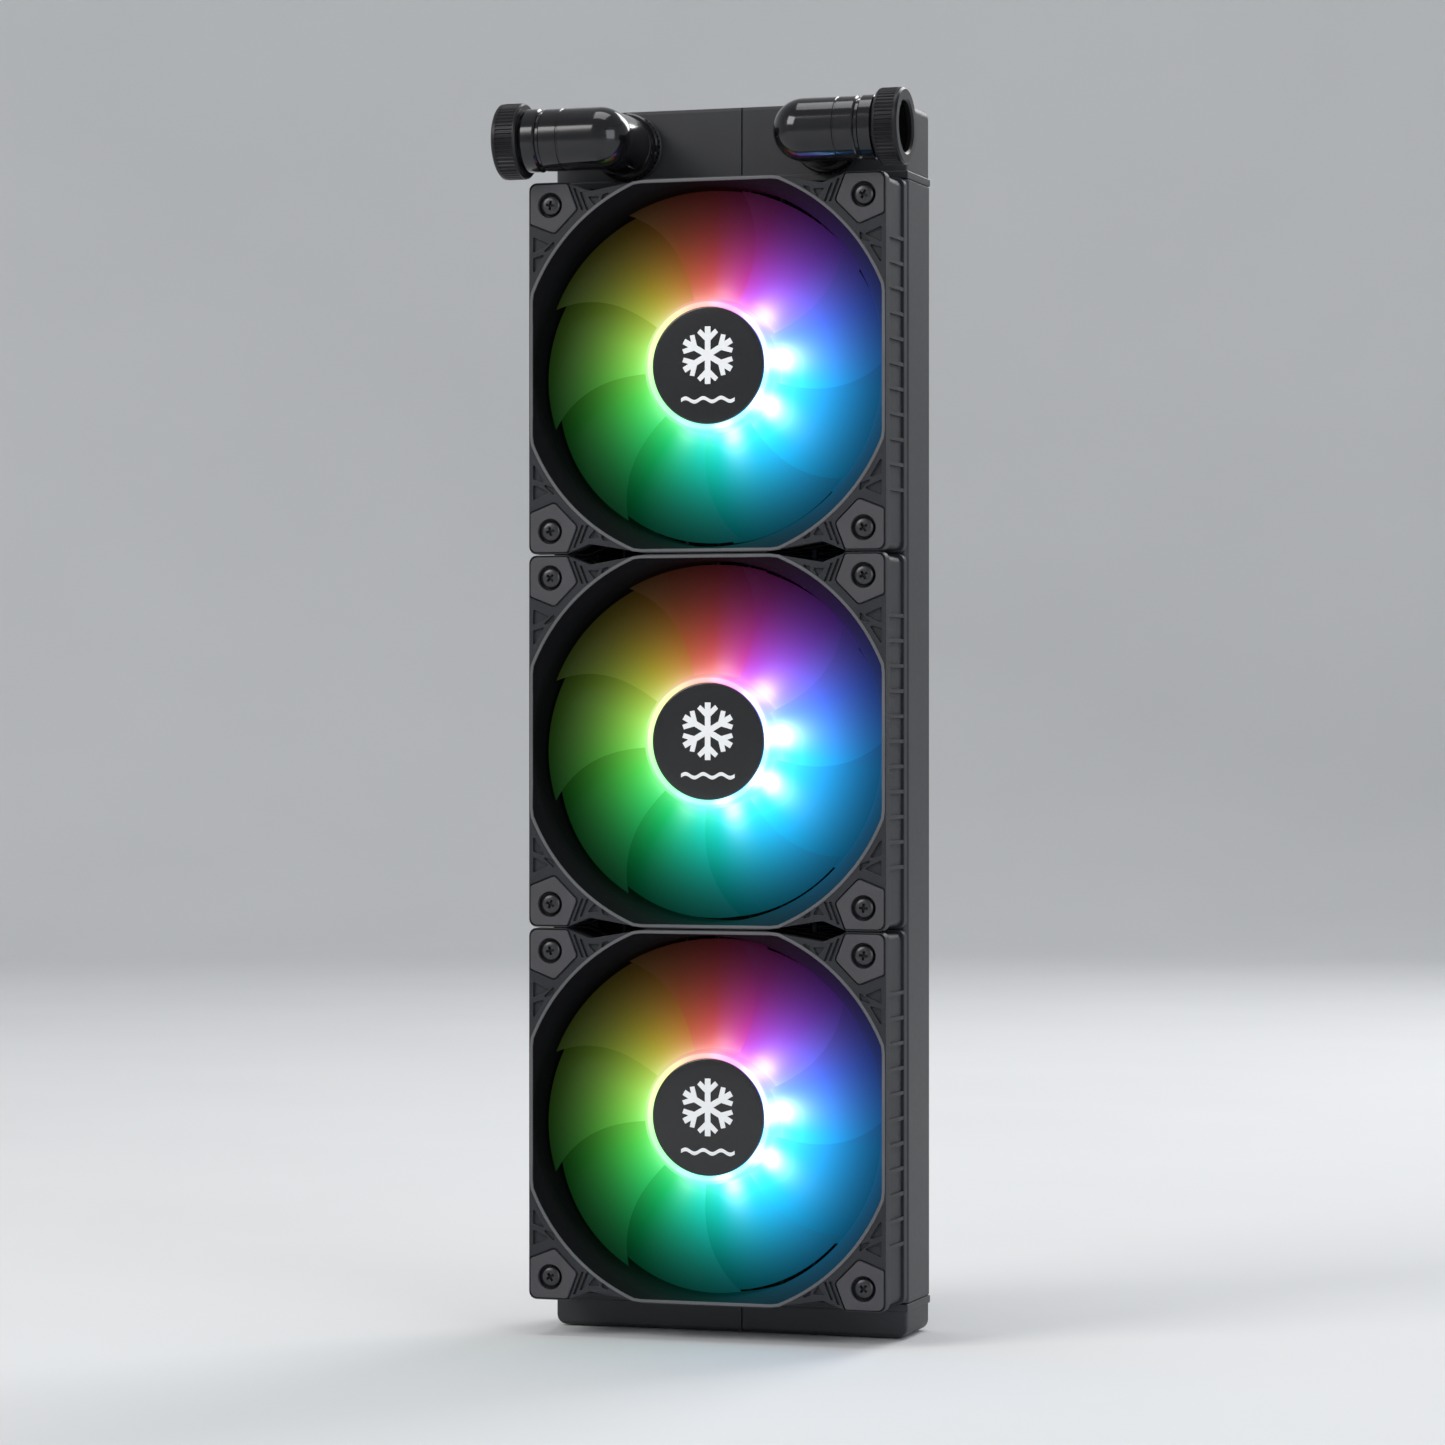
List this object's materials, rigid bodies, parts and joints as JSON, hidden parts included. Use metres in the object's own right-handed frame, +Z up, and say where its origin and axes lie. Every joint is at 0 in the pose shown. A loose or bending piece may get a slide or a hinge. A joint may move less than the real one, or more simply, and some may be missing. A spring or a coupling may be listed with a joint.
{
  "type": "liquid cooling radiator",
  "caption": "Slim liquid cooling radiator with a row of lit fans on its front, a ported end tank and swivelling elbow fittings for rigid tube.",
  "frame": {"origin": "centre of the radiator's rear flange plane, where the case bracket holds it", "axes": "+Z up along the radiator towards the ported tank, fans face -Y, +X to the right seen from the fans"},
  "size_m": [0.135, 0.067, 0.3962],
  "materials": {
    "radiator_paint": "satin black paint on brass and steel sheet",
    "coolant_tube": "flat brass tube, painted black",
    "fin": "copper fin sheet, painted black",
    "fan_frame": "moulded dark grey plastic, fine texture",
    "frosted_blade": "frosted translucent plastic, lit from the hub in many colours",
    "hub_cap": "smooth black plastic with a plain pale emblem",
    "motor_steel": "machined steel",
    "bearing_bronze": "sintered bronze",
    "winding": "enamelled copper wire on a laminated core",
    "circuit_board": "white solder mask",
    "black_screw": "black oxide steel",
    "black_fitting": "glossy black plated brass",
    "seal_rubber": "nitrile rubber"
  },
  "bodies": {
    "radiator": {"top_tank": "radiator_paint", "bottom_tank": "radiator_paint", "side_channel_left": "radiator_paint", "side_channel_right": "radiator_paint", "tube_bank": "coolant_tube", "fin_strip_01": "fin", "fin_strip_02": "fin", "fin_strip_03": "fin", "fin_strip_04": "fin", "fin_strip_05": "fin", "fin_strip_06": "fin", "fin_strip_07": "fin", "fin_strip_08": "fin", "fin_strip_09": "fin", "fin_strip_10": "fin", "fin_strip_11": "fin", "fan_top_frame": "fan_frame", "fan_top_bearing": "bearing_bronze", "fan_top_stator": "winding", "fan_top_circuit_board": "circuit_board", "fan_top_screw_1": "black_screw", "fan_top_screw_2": "black_screw", "fan_top_screw_3": "black_screw", "fan_top_screw_4": "black_screw", "fan_middle_frame": "fan_frame", "fan_middle_bearing": "bearing_bronze", "fan_middle_stator": "winding", "fan_middle_circuit_board": "circuit_board", "fan_middle_screw_1": "black_screw", "fan_middle_screw_2": "black_screw", "fan_middle_screw_3": "black_screw", "fan_middle_screw_4": "black_screw", "fan_bottom_frame": "fan_frame", "fan_bottom_bearing": "bearing_bronze", "fan_bottom_stator": "winding", "fan_bottom_circuit_board": "circuit_board", "fan_bottom_screw_1": "black_screw", "fan_bottom_screw_2": "black_screw", "fan_bottom_screw_3": "black_screw", "fan_bottom_screw_4": "black_screw", "elbow_left_base": "black_fitting", "elbow_left_seal": "seal_rubber", "elbow_right_base": "black_fitting", "elbow_right_seal": "seal_rubber"},
    "fan_top_rotor": {"fan_top_impeller": "frosted_blade", "fan_top_hub_cap": "hub_cap", "fan_top_rotor_magnet": "motor_steel", "fan_top_shaft": "motor_steel"},
    "fan_middle_rotor": {"fan_middle_impeller": "frosted_blade", "fan_middle_hub_cap": "hub_cap", "fan_middle_rotor_magnet": "motor_steel", "fan_middle_shaft": "motor_steel"},
    "fan_bottom_rotor": {"fan_bottom_impeller": "frosted_blade", "fan_bottom_hub_cap": "hub_cap", "fan_bottom_rotor_magnet": "motor_steel", "fan_bottom_shaft": "motor_steel"},
    "elbow_left_arm": {"elbow_left_body": "black_fitting", "elbow_left_collar": "black_fitting"},
    "elbow_right_arm": {"elbow_right_body": "black_fitting", "elbow_right_collar": "black_fitting"}
  },
  "joints": [
    {"name": "fan_top_spin", "type": "hinge", "parent": "radiator", "child": "fan_top_rotor", "pos_m": [0, -0.04, 0.12], "axis": [0, -1, 0], "continuous": true},
    {"name": "fan_middle_spin", "type": "hinge", "parent": "radiator", "child": "fan_middle_rotor", "pos_m": [0, -0.04, 0], "axis": [0, -1, 0], "continuous": true},
    {"name": "fan_bottom_spin", "type": "hinge", "parent": "radiator", "child": "fan_bottom_rotor", "pos_m": [0, -0.04, -0.12], "axis": [0, -1, 0], "continuous": true},
    {"name": "elbow_left_swivel", "type": "hinge", "parent": "radiator", "child": "elbow_left_arm", "pos_m": [-0.034, -0.055, 0.193], "axis": [0, 1, 0], "range_deg": [0, 120]},
    {"name": "elbow_right_swivel", "type": "hinge", "parent": "radiator", "child": "elbow_right_arm", "pos_m": [0.034, -0.055, 0.193], "axis": [0, -1, 0], "range_deg": [0, 120]}
  ]
}
